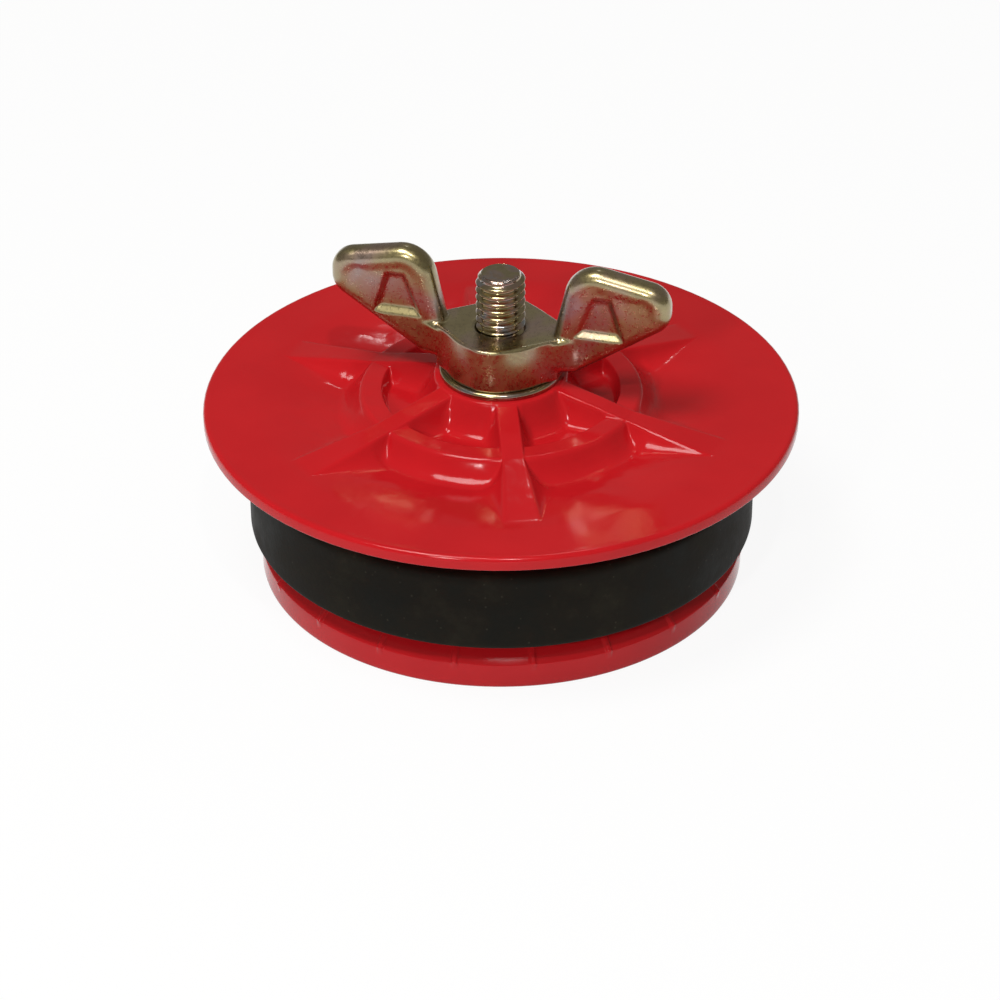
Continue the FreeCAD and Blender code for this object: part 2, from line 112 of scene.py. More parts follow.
def build(name, shells, finish, bodies):
    """One smooth mesh object from shells in millimetres, with its finish, attached to its body when just one
    is given.
    """
    points = []
    faces = []
    for shell_points, shell_faces in shells:
        shift = sum(len(part) for part in points)
        points.append(shell_points)
        faces += [[corner + shift for corner in face] for face in shell_faces]
    mesh = bpy.data.meshes.new(name)
    mesh.from_pydata((np.vstack(points) * MM).tolist(), [], faces)
    mesh.shade_smooth()
    mesh.materials.append(finish)
    piece = bpy.data.objects.new(name, mesh)
    bpy.context.scene.collection.objects.link(piece)
    if len(bodies) == 1:
        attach(piece, bodies[0])
    return piece


def ring_angles(count):
    """Equal angles round a full turn."""
    return np.arange(count) * 2 * math.pi / count


def turned(outline, angles):
    """Rings of points from an outline of radius and height pairs, turned about the Z axis."""
    radius, height = np.asarray(outline, float).T[:, :, None]
    return np.stack([radius * np.cos(angles), radius * np.sin(angles), height + 0 * angles], axis=-1)


def rounded(corners, radii, spacing, steps=6):
    """A closed outline through corners, each cut by an arc of its own radius that touches both sides, and
    with points no further apart than the spacing on the straight stretches."""
    corners = np.asarray(corners, float)
    back = np.roll(corners, 1, axis=0) - corners
    on = np.roll(corners, -1, axis=0) - corners
    back /= np.hypot(*back.T)[:, None]
    on /= np.hypot(*on.T)[:, None]
    half = np.arccos(np.clip((back * on).sum(axis=1), -1, 1)) / 2
    radii = np.asarray(radii, float)
    bisector = (back + on) / np.hypot(*(back + on).T)[:, None]
    centre = corners + bisector * (radii / np.sin(half))[:, None]
    start = corners + back * (radii / np.tan(half))[:, None] - centre
    end = corners + on * (radii / np.tan(half))[:, None] - centre
    angle = np.arctan2(start[:, 1], start[:, 0])
    sweep = np.arctan2(end[:, 1], end[:, 0]) - angle
    sweep = (sweep + math.pi) % (2 * math.pi) - math.pi
    turn = angle[:, None] + sweep[:, None] * np.linspace(0, 1, steps)
    arcs = centre[:, None] + radii[:, None, None] * np.stack([np.cos(turn), np.sin(turn)], axis=-1)
    path = arcs.reshape(-1, 2)
    step = np.roll(path, -1, axis=0) - path
    parts = np.maximum(1, np.ceil(np.hypot(*step.T) / spacing)).astype(int)
    source = np.repeat(np.arange(len(path)), parts)
    share = (np.arange(parts.sum()) - np.repeat(np.cumsum(parts) - parts, parts)) / parts[source]
    return path[source] + step[source] * share[:, None]


def node(tree, kind, inputs=(), **settings):
    """A shader node with its settings, and its inputs given as values or as other nodes' outputs."""
    made = tree.nodes.new(kind)
    for name, value in settings.items():
        setattr(made, name, value)
    for name, value in dict(inputs).items():
        if isinstance(value, bpy.types.NodeSocket):
            tree.links.new(value, made.inputs[name])
        else:
            made.inputs[name].default_value = value
    return made


def colour_steps(tree, factor, stops):
    """A colour ramp through (place, colour) stops."""
    ramp = node(tree, "ShaderNodeValToRGB", {"Fac": factor})
    elements = ramp.color_ramp.elements
    while len(elements) < len(stops):
        elements.new(0.5)
    for element, (place, colour) in zip(elements, stops):
        element.position = place
        element.color = (*colour, 1)
    return ramp.outputs["Color"]


def new_group(name, inputs, outputs):
    """An empty shader group with number inputs and the named outputs."""
    group = bpy.data.node_groups.new(name, "ShaderNodeTree")
    for label, value in inputs.items():
        socket = group.interface.new_socket(label, in_out="INPUT", socket_type="NodeSocketFloat")
        socket.default_value = value
    for label, kind in outputs.items():
        group.interface.new_socket(label, in_out="OUTPUT", socket_type=kind)
    return group, node(group, "NodeGroupInput"), node(group, "NodeGroupOutput")


def finish_of(name, colour, roughness, metallic, **more):
    """A material with one Principled shader, and its tree and shader to add to."""
    material = bpy.data.materials.new(name)
    material.use_nodes = True
    material.diffuse_color = (*colour, 1)
    tree = material.node_tree
    shader = tree.nodes["Principled BSDF"]
    values = {"Base Color": (*colour, 1), "Roughness": roughness, "Metallic": metallic, **more}
    for label, value in values.items():
        shader.inputs[label].default_value = value
    return material, tree, shader


def plating_group():
    """Yellow passivated zinc: broad patches of olive, straw and rose film, a cast or rolled grain as
    height, and a roughness that rises in the grain's hollows."""
    group, given, out = new_group(
        "zinc plating",
        {"Film Scale": 70.0, "Grain Scale": 1600.0, "Base Roughness": 0.25},
        {"Color": "NodeSocketColor", "Roughness": "NodeSocketFloat", "Height": "NodeSocketFloat"},
    )
    place = node(group, "ShaderNodeTexCoord").outputs["Object"]
    film = node(
        group,
        "ShaderNodeTexNoise",
        {"Vector": place, "Scale": given.outputs["Film Scale"], "Detail": 3.0, "Distortion": 0.6},
    )
    tint = colour_steps(
        group,
        film.outputs["Fac"],
        [
            (0.30, (0.26, 0.21, 0.08)),
            (0.46, (0.34, 0.28, 0.13)),
            (0.56, (0.37, 0.26, 0.20)),
            (0.68, (0.32, 0.34, 0.36)),
        ],
    )
    grain = node(
        group,
        "ShaderNodeTexNoise",
        {"Vector": place, "Scale": given.outputs["Grain Scale"], "Detail": 4.0, "Roughness": 0.6},
    )
    rise = node(
        group,
        "ShaderNodeMapRange",
        {"Value": grain.outputs["Fac"], "From Min": 0.3, "From Max": 0.7, "To Min": 0.09, "To Max": -0.09},
    )
    rough = node(
        group,
        "ShaderNodeMath",
        {0: given.outputs["Base Roughness"], 1: rise.outputs["Result"]},
        operation="ADD",
    )
    group.links.new(tint, out.inputs["Color"])
    group.links.new(rough.outputs["Value"], out.inputs["Roughness"])
    group.links.new(grain.outputs["Fac"], out.inputs["Height"])
    return group


ZINC_PLATING = plating_group()


def zinc_finish(name, film_scale, grain_scale, grain_depth, roughness):
    """Plated zinc at one piece's own scale of film and grain."""
    more = {"Coat Weight": 0.8, "Coat Roughness": 0.16, "Coat IOR": 1.7}
    material, tree, shader = finish_of(name, (0.33, 0.27, 0.13), roughness, 1.0, **more)
    plating = node(tree, "ShaderNodeGroup", node_tree=ZINC_PLATING)
    for label, value in (
        ("Film Scale", film_scale),
        ("Grain Scale", grain_scale),
        ("Base Roughness", roughness),
    ):
        plating.inputs[label].default_value = value
    bump = node(
        tree,
        "ShaderNodeBump",
        {"Strength": 1.0, "Distance": grain_depth * MM, "Height": plating.outputs["Height"]},
    )
    tree.links.new(plating.outputs["Color"], shader.inputs["Base Color"])
    tree.links.new(plating.outputs["Roughness"], shader.inputs["Roughness"])
    tree.links.new(bump.outputs["Normal"], shader.inputs["Normal"])
    return material


def threaded_shank(foot, end):
    """The thread as one ring grid. With the phase z / pitch - angle / full turn, the axial distance from a
    crest sets the radius: full on the crest, then falling at 60 degrees to the root, both rounded."""
    angles = ring_angles(72)
    height = np.arange(foot, end, THREAD_PITCH / 14)[:, None]
    height = np.vstack([height, [[end - 0.06]]])
    phase = (height / THREAD_PITCH - angles / (2 * math.pi)) % 1
    off_crest = np.minimum(phase, 1 - phase) * THREAD_PITCH
    fall = (off_crest - CREST_HALF) * math.tan(math.radians(60))
    fall = smooth_min(smooth_max(fall, 0 * fall, CREST_ROUND), THREAD_DEPTH + 0 * fall, ROOT_ROUND)
    radius = smooth_min(SHANK_RADIUS - fall, SHANK_RADIUS - END_BEVEL + end - height, 0.15)
    rings = np.stack([radius * np.cos(angles), radius * np.sin(angles), height + 0 * angles], axis=-1)
    flat = [[radius[-1].min() - inset, end] for inset in (0.15, 0.4)]
    return np.concatenate([rings, turned(flat, angles)])


def domed_head(bottom, radius):
    """The head as a low spherical cap with a straight edge, closed under the neck."""
    share = np.linspace(0.02, 1, 16)
    cap = HEAD_HEIGHT - HEAD_EDGE
    sphere = (radius**2 + cap**2) / (2 * cap)
    dome = sphere - np.sqrt(sphere**2 - (share * radius) ** 2)
    outline = [(s * radius, bottom + h) for s, h in zip(share, dome)]
    top = bottom + HEAD_HEIGHT
    outline += [(radius, top - 0.25), (radius - 0.08, top - 0.08), (radius - 0.25, top), (1.0, top)]
    return turned(outline, ring_angles(96))


def square_neck(bottom):
    """The neck, a square with rounded corners: half width over the 14th root of |cos|^14 + |sin|^14."""
    angles = ring_angles(96)
    radius = NECK_HALF / (np.abs(np.cos(angles)) ** 14 + np.abs(np.sin(angles)) ** 14) ** (1 / 14)
    height = np.array([0, 0.2, NECK_DEPTH - 0.4, NECK_DEPTH])[:, None] + bottom
    inset = np.array([0, 0, 0, 0.4])[:, None]
    reach = radius - inset
    return np.stack([reach * np.cos(angles), reach * np.sin(angles), height + 0 * angles], axis=-1)


bolt_low, bolt_high = node_size("carriage_bolt")
head_under = bolt_low[2] + HEAD_HEIGHT
plain_radius = SHANK_RADIUS - THREAD_DEPTH / 2
plain_shank = [(plain_radius, head_under), (plain_radius, THREAD_FOOT + 1)]
bolt = build(
    "bolt",
    [
        shell(threaded_shank(THREAD_FOOT, bolt_high[2]), "filled"),
        shell(turned(plain_shank, ring_angles(48)), "filled"),
        shell(domed_head(bolt_low[2], bolt_high[0]), "filled"),
        shell(square_neck(head_under), "filled"),
    ],
    zinc_finish("plated bolt steel", 240.0, 1200.0, 0.012, 0.17),
    ["lower_body"],
)
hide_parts("carriage_bolt")


# Bolt seal. A punched rubber washer between the bolt's head and the lower hub, which keeps water from
# running up the bolt. The CAD ring is its whole shape, so it stays and only takes the rubber.
RUBBER = (0.011, 0.009, 0.006)


def rubber_finish():
    """Black moulded rubber. Soft brown-grey mottling and a few pale specks on near black, a dull sheen, and
    the fine pitting of the mould as height."""
    material, tree, shader = finish_of("black rubber", RUBBER, 0.62, 0.0, IOR=1.18)
    place = node(tree, "ShaderNodeTexCoord").outputs["Object"]
    mottling = node(
        tree, "ShaderNodeTexNoise", {"Vector": place, "Scale": 85.0, "Detail": 6.0, "Roughness": 0.65}
    )
    colour = colour_steps(
        tree,
        mottling.outputs["Fac"],
        [
            (0.35, (0.007, 0.007, 0.005)),
            (0.52, RUBBER),
            (0.66, (0.017, 0.015, 0.010)),
            (0.78, (0.040, 0.034, 0.024)),
        ],
    )
    specks = node(tree, "ShaderNodeTexVoronoi", {"Vector": place, "Scale": 420.0, "Randomness": 1.0})
    speck = node(
        tree,
        "ShaderNodeMapRange",
        {
            "Value": specks.outputs["Distance"],
            "From Min": 0.05,
            "From Max": 0.11,
            "To Min": 0.5,
            "To Max": 0.0,
        },
    )
    speckled = node(
        tree,
        "ShaderNodeMix",
        {0: speck.outputs["Result"], 6: colour, 7: (0.045, 0.04, 0.028, 1)},
        data_type="RGBA",
    )
    pits = node(tree, "ShaderNodeTexNoise", {"Vector": place, "Scale": 1100.0, "Detail": 3.0})
    bump = node(
        tree, "ShaderNodeBump", {"Strength": 0.6, "Distance": 0.06 * MM, "Height": pits.outputs["Fac"]}
    )
    rough = node(
        tree,
        "ShaderNodeMapRange",
        {"Value": mottling.outputs["Fac"], "From Min": 0.3, "From Max": 0.7, "To Min": 0.5, "To Max": 0.72},
    )
    tree.links.new(speckled.outputs[2], shader.inputs["Base Color"])
    tree.links.new(rough.outputs["Result"], shader.inputs["Roughness"])
    tree.links.new(bump.outputs["Normal"], shader.inputs["Normal"])
    return material


black_rubber = rubber_finish()
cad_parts["bolt_seal"].data.materials.clear()
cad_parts["bolt_seal"].data.materials.append(black_rubber)


# Lower plate. An upturned cup moulded in glossy red plastic: a plain rim, a wedge face at 45 degrees with
# thin crush ribs that grip the rubber, a flat web, and a hub and gussets underneath.
WEDGE_WALL = 3.0
WEDGE_TIP = 37.4
RIM_HEIGHT = 5.2
WEB_THICKNESS = 3.0
HUB_RADIUS = 12.6
HUB_FOOT = 8.4
BOLT_HOLE = 5.2
GUSSET_WIDTH = 2.4
GUSSET_SETBACK = 2.0
PLATE_GUSSETS = 6
LOWER_GUSSET_TURN = 30.0
CRUSH_RIBS = 20
CRUSH_RIB_TURN = 7.0
CRUSH_RIB_HALF = 0.45
CRUSH_RIB_RISE = 0.6
CRUSH_RIB_RUN = 4.4


def moulded_group():
    """The skin of moulded plastic. Faint flow clouding for the colour, a fine orange peel, a slow swell, and
    patches of tighter ripple from shrinking, which lie in the ribbed dish, inside the dish radius."""
    group, given, out = new_group(
        "moulded skin",
        {"Dish Radius": 0.045, "Swell": 0.12, "Ripple": 0.26, "Peel": 0.015},
        {"Shade": "NodeSocketFloat", "Height": "NodeSocketFloat"},
    )
    place = node(group, "ShaderNodeTexCoord").outputs["Object"]
    level = node(group, "ShaderNodeVectorMath", {0: place, 1: (1, 1, 0)}, operation="MULTIPLY")
    reach = node(group, "ShaderNodeVectorMath", {0: level.outputs[0]}, operation="LENGTH")
    inside = node(
        group,
        "ShaderNodeMath",
        {0: given.outputs["Dish Radius"], 1: reach.outputs["Value"]},
        operation="SUBTRACT",
    )
    depth = node(
        group,
        "ShaderNodeMapRange",
        {"Value": inside.outputs[0], "From Min": 0.0, "From Max": 0.006, "To Max": given.outputs["Ripple"]},
    )
    cloud = node(group, "ShaderNodeTexNoise", {"Vector": place, "Scale": 60.0, "Detail": 3.0})
    patch = node(
        group,
        "ShaderNodeMapRange",
        {
            "Value": cloud.outputs["Fac"],
            "From Min": 0.38,
            "From Max": 0.52,
            "To Max": depth.outputs["Result"],
        },
    )
    swell = node(group, "ShaderNodeTexNoise", {"Vector": place, "Scale": 95.0, "Detail": 1.0})
    ripple = node(group, "ShaderNodeTexNoise", {"Vector": place, "Scale": 190.0, "Detail": 1.0})
    peel = node(group, "ShaderNodeTexNoise", {"Vector": place, "Scale": 900.0, "Detail": 2.0})
    height = node(
        group, "ShaderNodeMath", {0: ripple.outputs["Fac"], 1: patch.outputs["Result"]}, operation="MULTIPLY"
    )
    for layer, depth_name in ((swell, "Swell"), (peel, "Peel")):
        height = node(
            group,
            "ShaderNodeMath",
            {0: layer.outputs["Fac"], 1: given.outputs[depth_name], 2: height.outputs[0]},
            operation="MULTIPLY_ADD",
        )
    group.links.new(cloud.outputs["Fac"], out.inputs["Shade"])
    group.links.new(height.outputs[0], out.inputs["Height"])
    return group


MOULDED_SKIN = moulded_group()


def red_finish():
    """Glossy red plastic: the clouding moves the colour between two near reds, and the skin's waviness and
    peel break up the reflections."""
    material, tree, shader = finish_of("glossy red plastic", (0.50, 0.009, 0.013), 0.13, 0.0, IOR=1.3)
    skin = node(tree, "ShaderNodeGroup", node_tree=MOULDED_SKIN)
    colour = colour_steps(
        tree,
        skin.outputs["Shade"],
        [(0.3, (0.47, 0.008, 0.012)), (0.7, (0.52, 0.010, 0.014))],
    )
    bump = node(
        tree, "ShaderNodeBump", {"Strength": 1.0, "Distance": 0.6 * MM, "Height": skin.outputs["Height"]}
    )
    tree.links.new(colour, shader.inputs["Base Color"])
    tree.links.new(bump.outputs["Normal"], shader.inputs["Normal"])
    return material


red_plastic = red_finish()


def rib_sector(count, turn, half_steps):
    """Angles round a full turn that bunch up beside each of a number of ribs. Half steps are angles from a
    rib's middle to half way to the next, and are mirrored on its other side."""
    steps = np.concatenate([-half_steps[:0:-1], half_steps[:-1]])
    return (turn + ring_angles(count)[:, None] + steps).ravel()


def gusset(outline, width, turn):
    """A flat rib: an outline of radius and height pairs, as thick as the width, turned about the Z axis.
    Its two edges are rings drawn in by a small bevel, and the faces between are filled."""
    outline = np.asarray(outline, float)
    inward = outline.mean(axis=0) - outline
    inward /= np.hypot(*inward.T)[:, None]
    rings = []
    for across, inset in ((-0.5, 0.3), (-0.5 + 0.15 / width, 0), (0.5 - 0.15 / width, 0), (0.5, 0.3)):
        edge = outline + inward * inset
        across = across * width
        x = edge[:, 0] * math.cos(turn) - across * math.sin(turn)
        y = edge[:, 0] * math.sin(turn) + across * math.cos(turn)
        rings.append(np.stack([x, y, edge[:, 1]], axis=-1))
    return rings


def ribbed_rings(outline):
    """The plate's outline turned about the Z axis, with its crush ribs. A rib stands out square to the wedge,
    by its full rise over its middle, and falls straight to its foot at both sides and at its upper end."""
    half_gap = np.radians(180 / CRUSH_RIBS)
    beside_rib = np.array([0, 0.15, 0.3, 0.45, 0.6, 0.8, 1.1]) / wedge_root
    steps = np.concatenate([beside_rib, half_gap * np.array([0.3, 0.5, 0.75, 1])])
    angles = rib_sector(CRUSH_RIBS, math.radians(CRUSH_RIB_TURN), steps)
    radius, height = outline.T[:, :, None]
    on_wedge = (np.abs(radius + height - wedge_root - RIM_HEIGHT) < 0.3) & (radius > WEDGE_TIP)
    along = (wedge_root - radius) / CRUSH_RIB_RUN
    from_rib = (angles - math.radians(CRUSH_RIB_TURN) + half_gap) % (2 * half_gap) - half_gap
    across = np.abs(from_rib) * radius / CRUSH_RIB_HALF
    ridge = CRUSH_RIB_RISE * np.clip(2.2 - 1.5 * across, 0, 1) * np.clip((1.15 - along) * 4, 0, 1) * on_wedge
    ridge = ridge / math.sqrt(2)
    radius = radius + ridge
    return np.stack([radius * np.cos(angles), radius * np.sin(angles), height + ridge], axis=-1)


plate_high = node_size("bottom_plate")[1]
wedge_root = plate_high[0]
web_top = RIM_HEIGHT + wedge_root - WEDGE_TIP
web_under = web_top - WEB_THICKNESS
inner_rim = wedge_root - WEDGE_WALL
inner_bend = RIM_HEIGHT - 1.2
lower_outline = rounded(
    [
        (BOLT_HOLE, HUB_FOOT),
        (HUB_RADIUS, HUB_FOOT),
        (HUB_RADIUS, web_under),
        (inner_rim - (web_under - inner_bend), web_under),
        (inner_rim, inner_bend),
        (inner_rim, 0),
        (wedge_root, 0),
        (wedge_root, RIM_HEIGHT),
        (WEDGE_TIP, web_top),
        (BOLT_HOLE, web_top),
    ],
    [0.3, 0.4, 0.8, 1.5, 1.0, 0.5, 0.8, 0.35, 0.6, 0.3],
    1.0,
)
lower_side = rounded(
    [
        (HUB_RADIUS - 1, HUB_FOOT),
        (HUB_RADIUS, HUB_FOOT),
        (inner_rim, GUSSET_SETBACK),
        (inner_rim + 1, GUSSET_SETBACK),
        (inner_rim + 1, inner_bend),
        (inner_rim - (web_under - inner_bend), web_under + 1),
        (HUB_RADIUS - 1, web_under + 1),
    ],
    [0.01] * 7,
    3.0,
    steps=2,
)
lower_plate = build(
    "lower_plate",
    [shell(ribbed_rings(lower_outline), "joined")]
    + [
        shell(gusset(lower_side, GUSSET_WIDTH, math.radians(LOWER_GUSSET_TURN) + turn), "filled")
        for turn in ring_angles(PLATE_GUSSETS)
    ],
    red_plastic,
    ["lower_body"],
)
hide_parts("bottom_plate")


# Sealing ring. A thick moulded band of black rubber whose two bevelled inner corners sit on the wedge
# faces. The real band is soft and shortens between the plates as they close; this mesh keeps one shape.
SEAT_CLEARANCE = 0.1
SEAT_TOP_CLEARANCE = 0.3
RING_WALL = 12.0
RING_EDGE = 1.5
UPPER_WEDGE_ROOT = 31.1

ring_low, ring_high = node_size("sealing_ring")
ring_bore = ring_high[0] - RING_WALL
lower_seat = wedge_root + RIM_HEIGHT + SEAT_CLEARANCE * math.sqrt(2)
upper_seat = UPPER_WEDGE_ROOT - wedge_root - SEAT_TOP_CLEARANCE * math.sqrt(2)
ring_outline = rounded(
    [
        (lower_seat - ring_low[2], ring_low[2]),
        (ring_high[0], ring_low[2]),
        (ring_high[0], ring_high[2]),
        (ring_high[2] - upper_seat, ring_high[2]),
        (ring_bore, ring_bore + upper_seat),
        (ring_bore, lower_seat - ring_bore),
    ],
    [0.6, 1.0, RING_EDGE, 0.6, 1.0, 1.0],
    0.6,
)
sealing_ring = build(
    "rubber_band",
    [shell(turned(ring_outline, ring_angles(360)), "joined")],
    black_rubber,
    [],
)
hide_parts("sealing_ring")
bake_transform(sealing_ring)


# Upper plate. The same red plastic: a thin round flange round a shallow dish, with a hub, a ring rib and six
# ribs that slope down and widen to the flange. Its wedge skirt underneath presses on the rubber.
DISH_RADIUS = 45.0
DISH_RUN_OUT = 3.0
OUTER_POCKET = 2.8
INNER_POCKET = 0.6
FLOOR_THICKNESS = 2.8
HUB_RISE = 5.8
HUB_STEP = 0.2
RING_RIB_MIDDLE = 25.25
RING_RIB_HALF = 2.05
RING_RIB_RISE = 2.4
RIB_TURN = -85.2
RIB_HALF = 2.05
RIB_END_HALF = 3.5
RIB_END = 44.4
FLANGE_EDGE = 0.9
INNER_DRAFT = 4.0
OUTER_DRAFT = 1.6
HUB_DRAFT = 2.6
SKIRT_NECK = 2.0

top_high = node_size("top_plate")[1]
flange_radius = top_high[0]
flange_top = top_high[2] - HUB_RISE
flange_under = UPPER_WEDGE_ROOT + SKIRT_NECK


def rib_half_width(radius):
    """Half the width of a rib's top: even to the ring rib, then widening in a straight line to its end."""
    start = RING_RIB_MIDDLE + RING_RIB_HALF
    return RIB_HALF + (RIB_END_HALF - RIB_HALF) * np.clip((radius - start) / (RIB_END - start), 0, 1)


def dish_height(radius, across):
    """Height over the flange of the dish at a radius and a distance across from the nearest rib's middle.
    The pocket floors, ring rib, ribs and hub are heights of their own. Each rises at its draft's slope to a
    rounded top, and they are joined by taking the largest, with fillets."""
    start = RING_RIB_MIDDLE + RING_RIB_HALF
    out = np.clip((radius - start) / (DISH_RADIUS + DISH_RUN_OUT - start), 0, 1)
    outer = -OUTER_POCKET * (1 - out) ** 1.5
    floor = np.where(radius < RING_RIB_MIDDLE, -INNER_POCKET, outer)
    ring_draft = np.where(radius < RING_RIB_MIDDLE, INNER_DRAFT, OUTER_DRAFT)
    ring_flank = RING_RIB_RISE + ring_draft * (RING_RIB_HALF - np.abs(radius - RING_RIB_MIDDLE))
    ring = smooth_min(ring_flank, RING_RIB_RISE + 0 * radius, 0.9)
    hub_end = HUB_RISE - HUB_STEP
    inner_line = hub_end - (hub_end - RING_RIB_RISE) * (radius - HUB_RADIUS) / (start - HUB_RADIUS)
    outer_line = RING_RIB_RISE * (DISH_RADIUS - radius) / (DISH_RADIUS - start)
    crest = np.where(radius < start, inner_line, outer_line)
    rib_draft = INNER_DRAFT + (OUTER_DRAFT - INNER_DRAFT) * np.clip(out * 4, 0, 1)
    rib = smooth_min(crest + rib_draft * (rib_half_width(radius) - np.abs(across)), crest, 0.7)
    hub = smooth_min(HUB_RISE + HUB_DRAFT * (HUB_RADIUS + 0.3 - radius), HUB_RISE + 0 * radius, 0.7)
    height = smooth_max(floor, ring, 0.8 * (RING_RIB_RISE - floor))
    height = smooth_max(height, rib, np.clip(1.3 * (crest - height), 0.2, 6.0))
    return smooth_max(height, hub, np.clip(1.3 * (HUB_RISE - height), 0.2, 4.5))


def column_angles(radius):
    """The grid's angles at each radius. Beside every rib they bunch up along its flank, wherever that lies
    at this radius, and spread evenly over the rest of the pocket."""
    half_sector = math.pi / PLATE_GUSSETS
    reach = np.maximum(radius, HUB_RADIUS)[:, None]
    edge = rib_half_width(reach)
    on_rib = edge * np.array([0, 0.35, 0.65])
    flank = edge + np.array([-0.5, -0.3, -0.15, 0, 0.15, 0.3, 0.5, 0.7, 0.9, 1.15, 1.45, 1.9, 2.5])
    near = np.arcsin(np.concatenate([on_rib, flank], axis=1) / reach)
    far = near[:, -1:] + (half_sector - near[:, -1:]) * np.array([0.12, 0.25, 0.4, 0.55, 0.7, 0.85, 1.0])
    half = np.concatenate([near, far], axis=1)
    sector = np.concatenate([-half[:, :0:-1], half[:, :-1]], axis=1)
    return np.concatenate([sector + turn for turn in ring_angles(PLATE_GUSSETS)], axis=1)


ring_inner = RING_RIB_MIDDLE - RING_RIB_HALF
ring_outer = RING_RIB_MIDDLE + RING_RIB_HALF
top_radius = np.concatenate(
    [
        np.linspace(BOLT_HOLE, HUB_RADIUS - 0.6, 6),
        np.linspace(HUB_RADIUS - 0.4, HUB_RADIUS + 2.4, 18),
        np.linspace(HUB_RADIUS + 2.9, ring_inner - 2.6, 10),
        np.linspace(ring_inner - 2.2, ring_inner + 0.7, 22),
        np.linspace(ring_inner + 1.0, ring_outer - 1.0, 5),
        np.linspace(ring_outer - 0.7, ring_outer + 2.4, 24),
        np.linspace(ring_outer + 2.9, DISH_RADIUS - 2.4, 24),
        np.linspace(DISH_RADIUS - 2.0, DISH_RADIUS + 3.4, 18),
        np.linspace(DISH_RADIUS + 4.2, flange_radius - FLANGE_EDGE - 0.6, 8),
    ]
)
top_angle = column_angles(top_radius)
across_rib = (top_angle + math.pi / PLATE_GUSSETS) % (2 * math.pi / PLATE_GUSSETS) - math.pi / PLATE_GUSSETS
across_rib = top_radius[:, None] * np.sin(across_rib)
top_height = dish_height(top_radius[:, None] + 0 * top_angle, across_rib)
core_tip = WEDGE_TIP - WEDGE_WALL * math.sqrt(2)
skirt_foot = UPPER_WEDGE_ROOT - (wedge_root - WEDGE_TIP)
core_top = UPPER_WEDGE_ROOT + 1.2
core_root = core_tip + core_top - skirt_foot
outer_under = flange_top - OUTER_POCKET - FLOOR_THICKNESS
inner_under = flange_top - INNER_POCKET - FLOOR_THICKNESS
under_outline = rounded(
    [
        (flange_radius, flange_top),
        (flange_radius, flange_under),
        (wedge_root, flange_under),
        (wedge_root, UPPER_WEDGE_ROOT),
        (WEDGE_TIP, skirt_foot),
        (core_tip, skirt_foot),
        (core_root, core_top),
        (core_root - WEDGE_WALL * math.sqrt(2), outer_under),
        (ring_outer, outer_under),
        (ring_inner, inner_under),
        (HUB_RADIUS, inner_under),
        (HUB_RADIUS, skirt_foot),
        (BOLT_HOLE, skirt_foot),
        (BOLT_HOLE, flange_top + HUB_RISE),
    ],
    [FLANGE_EDGE, 0.4, 0.8, 0.4, 0.4, 0.4, 0.5, 0.5, 0.5, 0.5, 0.5, 0.4, 0.3, 0.3],
    2.0,
)
at_bore_top = (under_outline[:, 0] < BOLT_HOLE + 0.4) & (under_outline[:, 1] > flange_top)
under_outline = under_outline[: np.argmax(at_bore_top)]
under_angle = column_angles(np.full(len(under_outline), flange_radius))
top_rings = np.stack(
    [
        top_radius[:, None] * np.cos(top_angle),
        top_radius[:, None] * np.sin(top_angle),
        flange_top + top_height,
    ],
    axis=-1,
)
under_rings = np.stack(
    [
        under_outline[:, :1] * np.cos(under_angle),
        under_outline[:, :1] * np.sin(under_angle),
        under_outline[:, 1:] + 0 * under_angle,
    ],
    axis=-1,
)
plate_rings = np.concatenate([top_rings, under_rings])
first_rib = math.radians(RIB_TURN)
plate_rings = plate_rings @ np.array(Matrix.Rotation(-first_rib, 3, "Z"))
upper_side = rounded(
    [
        (HUB_RADIUS - 1, skirt_foot + GUSSET_SETBACK),
        (core_tip + GUSSET_SETBACK + 1, skirt_foot + GUSSET_SETBACK),
        (core_root + 1, core_top + 1),
        (core_root - WEDGE_WALL, outer_under + 1),
        (ring_outer, outer_under + 1),
        (ring_inner, inner_under + 1),
        (HUB_RADIUS - 1, inner_under + 1),
    ],
    [0.01] * 7,
    3.0,
    steps=2,
)
upper_plate = build(
    "upper_plate",
    [shell(plate_rings, "joined")]
    + [
        shell(gusset(upper_side, GUSSET_WIDTH, first_rib + turn), "filled")
        for turn in ring_angles(PLATE_GUSSETS)
    ],
    red_plastic,
    ["upper_body"],
)
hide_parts("top_plate")


# Flat washer. A plain pressed steel washer in the same plating, with its edges rounded by the tumbling.
WASHER_BORE = 5.15

washer_low, washer_high = node_size("flat_washer")
washer_outline = rounded(
    [
        (WASHER_BORE, washer_low[2]),
        (washer_high[0], washer_low[2]),
        (washer_high[0], washer_high[2]),
        (WASHER_BORE, washer_high[2]),
    ],
    [0.2, 0.3, 0.6, 0.2],
    1.0,
)
washer = build(
    "washer",
    [shell(turned(washer_outline, ring_angles(180)), "joined")],
    zinc_finish("plated washer steel", 120.0, 1500.0, 0.012, 0.2),
    ["upper_body"],
)
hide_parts("flat_washer")


